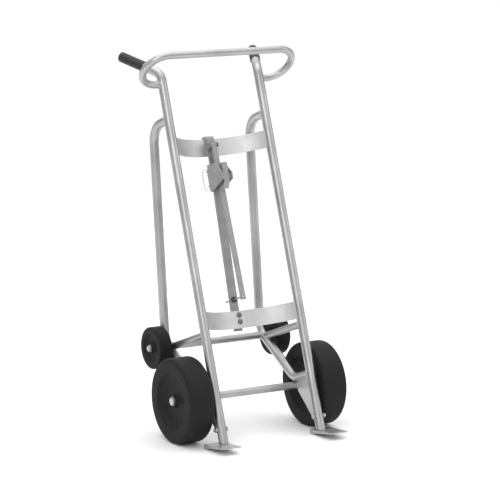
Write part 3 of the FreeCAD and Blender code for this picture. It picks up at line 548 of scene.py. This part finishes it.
# ---------------------------------------------------------------- plates, hook and hardware with broken edges
EDGED = [
    (["left_toe"], 0.0009, "frame"), (["right_toe"], 0.0009, "frame"),
    (["upper_drum_band"], 0.0007, "frame"), (["lower_drum_band"], 0.0007, "frame"),
    (["left_gusset"], 0.0008, "frame"), (["right_gusset"], 0.0008, "frame"),
    (["hook_mast"], 0.0009, "frame"), (["hinge_lugs"], 0.0005, "frame"),
    (["mast_bolts"], 0.0005, "frame"), (["mast_nuts"], 0.0005, "frame"), (["mast_spacers"], 0.0004, "frame"),
    (["toe_bolts"], 0.0005, "frame"), (["toe_nuts"], 0.0005, "frame"),
    (["axle_washers"], 0.0003, "frame"),
    (["hook_bar"], 0.0008, "hook_bar_assembly"), (["guide_rod"], 0.0004, "hook_bar_assembly"),
    (["chime_hook"], 0.0007, "hook_slider"), (["guide_pins"], 0.0004, "hook_slider"),
]
for nodes, bevel, body in EDGED:
    softened(nodes, bevel, body, NODE_SLOT[nodes[0]])

# ---------------------------------------------------------------- weld beads
BEAD_STEPS = 72
RIPPLE_PITCH = 0.0028
TREES = {}


def surface(node_name):
    """A search tree of a node's surface."""
    if node_name not in TREES:
        mesh = frame["nodes"][node_name].data
        points = [vertex.co for vertex in mesh.vertices]
        faces = [polygon.vertices for polygon in mesh.polygons]
        TREES[node_name] = BVHTree.FromPolygons(points, faces)
    return TREES[node_name]


def bead(bm, starts, direction, node_name, thick, closed):
    """A rippled bead where rays from a row of points meet a node. Rays that miss split it into runs."""
    runs = [[]]
    for start in starts:
        hit = surface(node_name).ray_cast(start, direction, 0.12)[0]
        if hit is not None and runs[-1] and (hit - runs[-1][-1]).length > 0.012:
            hit_run = [hit]
            runs.append(hit_run)
        elif hit is not None:
            runs[-1].append(hit)
        elif runs[-1]:
            runs.append([])
    whole = closed and len(runs) == 1 and len(runs[0]) == len(starts)
    for run in runs:
        if len(run) < 4:
            continue
        travelled = 0.0
        radii = []
        for index, point in enumerate(run):
            if index:
                travelled += (point - run[index - 1]).length
            ripple = abs(math.sin(math.pi * travelled / RIPPLE_PITCH))
            edge = 1.0 if whole else min(1.0, 0.45 + 0.2 * min(index, len(run) - 1 - index))
            radii.append(thick * edge * (0.9 + 0.13 * ripple + 0.07 * random.random()))
        add_sweep(bm, run, radii, whole)


def ring_starts(centre, direction, radius):
    """Points round a tube that runs along a direction."""
    side = direction.orthogonal().normalized()
    other = direction.cross(side).normalized()
    for step in range(BEAD_STEPS):
        angle = 2 * math.pi * step / BEAD_STEPS
        yield centre + radius * (math.cos(angle) * side + math.sin(angle) * other)


def row_starts(first, last, steps=60):
    """Evenly spaced points on a straight line."""
    return [first.lerp(last, step / (steps - 1)) for step in range(steps)]


axle_joint = Vector(JOINTS["right_main_wheel_spin"]["pos_m"])
rear_joint = Vector(JOINTS["right_rear_wheel_spin"]["pos_m"])
TUBE_BEAD = 0.0026
PLATE_BEAD = 0.0021
BAND_BEAD = 0.0019
BAND_LOW_W = (1.0365, 0.4045)
BAND_HIGH = 0.0635
BAND_THICK = 0.0048
for side_name, s in SIDES:
    rail = side_name + "_rail"
    rear = side_name + "_rear_tube"
    gusset = side_name + "_gusset"
    x = s * GAUGE_HALF
    inner_pipe = PIPE_R * 0.985
    bm = bmesh.new()
    tubes = [
        (at(x + s * 0.05, 0.003, 1.2936), -s * X, SMALL_R, rail),
        (at(x, 0.06, 1.165), -V, inner_pipe, rail),
        (at(x, 0.05, 0.2035), -V, inner_pipe, rail),
        (at(x, 0.08, 0.3854), -V, SMALL_R, rail),
        (at(x, 0.18, 0.3854), V, SMALL_R, rear),
        (Vector((x - s * 0.05, rear_joint.y, rear_joint.z)), s * X, SMALL_R, rear),
        (Vector((x - s * 0.04, axle_joint.y, axle_joint.z)), s * X, SMALL_R, gusset),
        (Vector((x + s * 0.04, axle_joint.y, axle_joint.z)), -s * X, SMALL_R, gusset),
    ]
    for centre, direction, radius, target in tubes:
        bead(bm, list(ring_starts(centre, direction, radius + 0.0002)), direction, target, TUBE_BEAD, True)
    for face in (-1, 1):
        x_face = x + face * GUSSET_HALF
        bead(bm, row_starts(at(x_face, 0.045, 0.036), at(x_face, 0.045, 0.184)), -V, rail, PLATE_BEAD, False)
        bead(bm, row_starts(at(x_face, 0.02, 0.17), at(x_face, 0.1, 0.17)), W, rear, PLATE_BEAD, False)
    for low_w in BAND_LOW_W:
        for face in (-1, 1):
            v_face = 0.0045 + face * BAND_THICK / 2
            first = at(s * 0.165, v_face, low_w + 0.001)
            last = at(s * 0.165, v_face, low_w + BAND_HIGH - 0.001)
            bead(bm, row_starts(first, last), s * X, rail, BAND_BEAD, False)
    name = side_name + "_weld_beads"
    add_piece(name, mesh_from(name, bm, 80.0), "frame", "bright_pipe", "weld_metal")

# ---------------------------------------------------------------- floor, light and camera
floor_mesh = bpy.data.meshes.new("studio_floor")
FLOOR_HALF = 60.0
FLOOR_Z = -0.0002
corners = [(-FLOOR_HALF, -FLOOR_HALF), (FLOOR_HALF, -FLOOR_HALF),
           (FLOOR_HALF, FLOOR_HALF), (-FLOOR_HALF, FLOOR_HALF)]
floor_mesh.from_pydata([(x, y, FLOOR_Z) for x, y in corners], [], [(0, 1, 2, 3)])
floor_mesh.materials.append(floor_finish())
floor = bpy.data.objects.new("studio_floor", floor_mesh)
bpy.context.scene.collection.objects.link(floor)

AIM = (CAD_BOX[0] + CAD_BOX[1]) / 2
LIGHTS = [
    ("key", (-3.4, -3.6, 3.6), 2.6, 3.4, 60.0),
    ("fill", (4.2, -2.6, 2.4), 2.4, 3.2, 26.0),
    ("top", (0.2, 0.4, 4.6), 3.4, 3.4, 34.0),
    ("back", (1.8, 4.4, 2.8), 2.6, 2.6, 26.0),
]
for name, place, width, height, power in LIGHTS:
    lamp = bpy.data.lights.new(name, "AREA")
    lamp.shape = "RECTANGLE"
    lamp.size = width
    lamp.size_y = height
    lamp.energy = power
    holder = bpy.data.objects.new(name, lamp)
    holder.location = place
    holder.rotation_euler = (AIM - Vector(place)).to_track_quat("-Z", "Y").to_euler()
    bpy.context.scene.collection.objects.link(holder)

world = bpy.data.worlds.new("studio")
world.use_nodes = True
tree = world.node_tree
background = tree.nodes["Background"]
sky_way = tree.nodes.new("ShaderNodeTexCoord").outputs["Generated"]
split = tree.nodes.new("ShaderNodeSeparateXYZ")
tree.links.new(sky_way, split.inputs["Vector"])
height = remap(tree, split.outputs["Z"], -0.1, 1.0, 0.0, 1.0)
shade = colours(tree, height, [(0.0, 0.2), (0.3, 0.62), (1.0, 1.6)])
tree.links.new(shade, background.inputs["Color"])
background.inputs["Strength"].default_value = 1.0
bpy.context.scene.world = world

CAMERA_PLACE = Vector((-4.6537, -8.0428, 2.2787))
CAMERA_AZIMUTH = math.radians(30.38)
CAMERA_DROP = math.radians(9.94)
camera_data = bpy.data.cameras.new("camera")
camera_data.lens = 189.8
camera_data.sensor_width = 36.0
camera = bpy.data.objects.new("camera", camera_data)
level = math.cos(CAMERA_DROP)
look = Vector((math.sin(CAMERA_AZIMUTH) * level, math.cos(CAMERA_AZIMUTH) * level, -math.sin(CAMERA_DROP)))
camera.location = CAMERA_PLACE
camera.rotation_euler = look.to_track_quat("-Z", "Y").to_euler()
bpy.context.scene.collection.objects.link(camera)
bpy.context.scene.camera = camera
bpy.context.scene.view_settings.view_transform = "Standard"
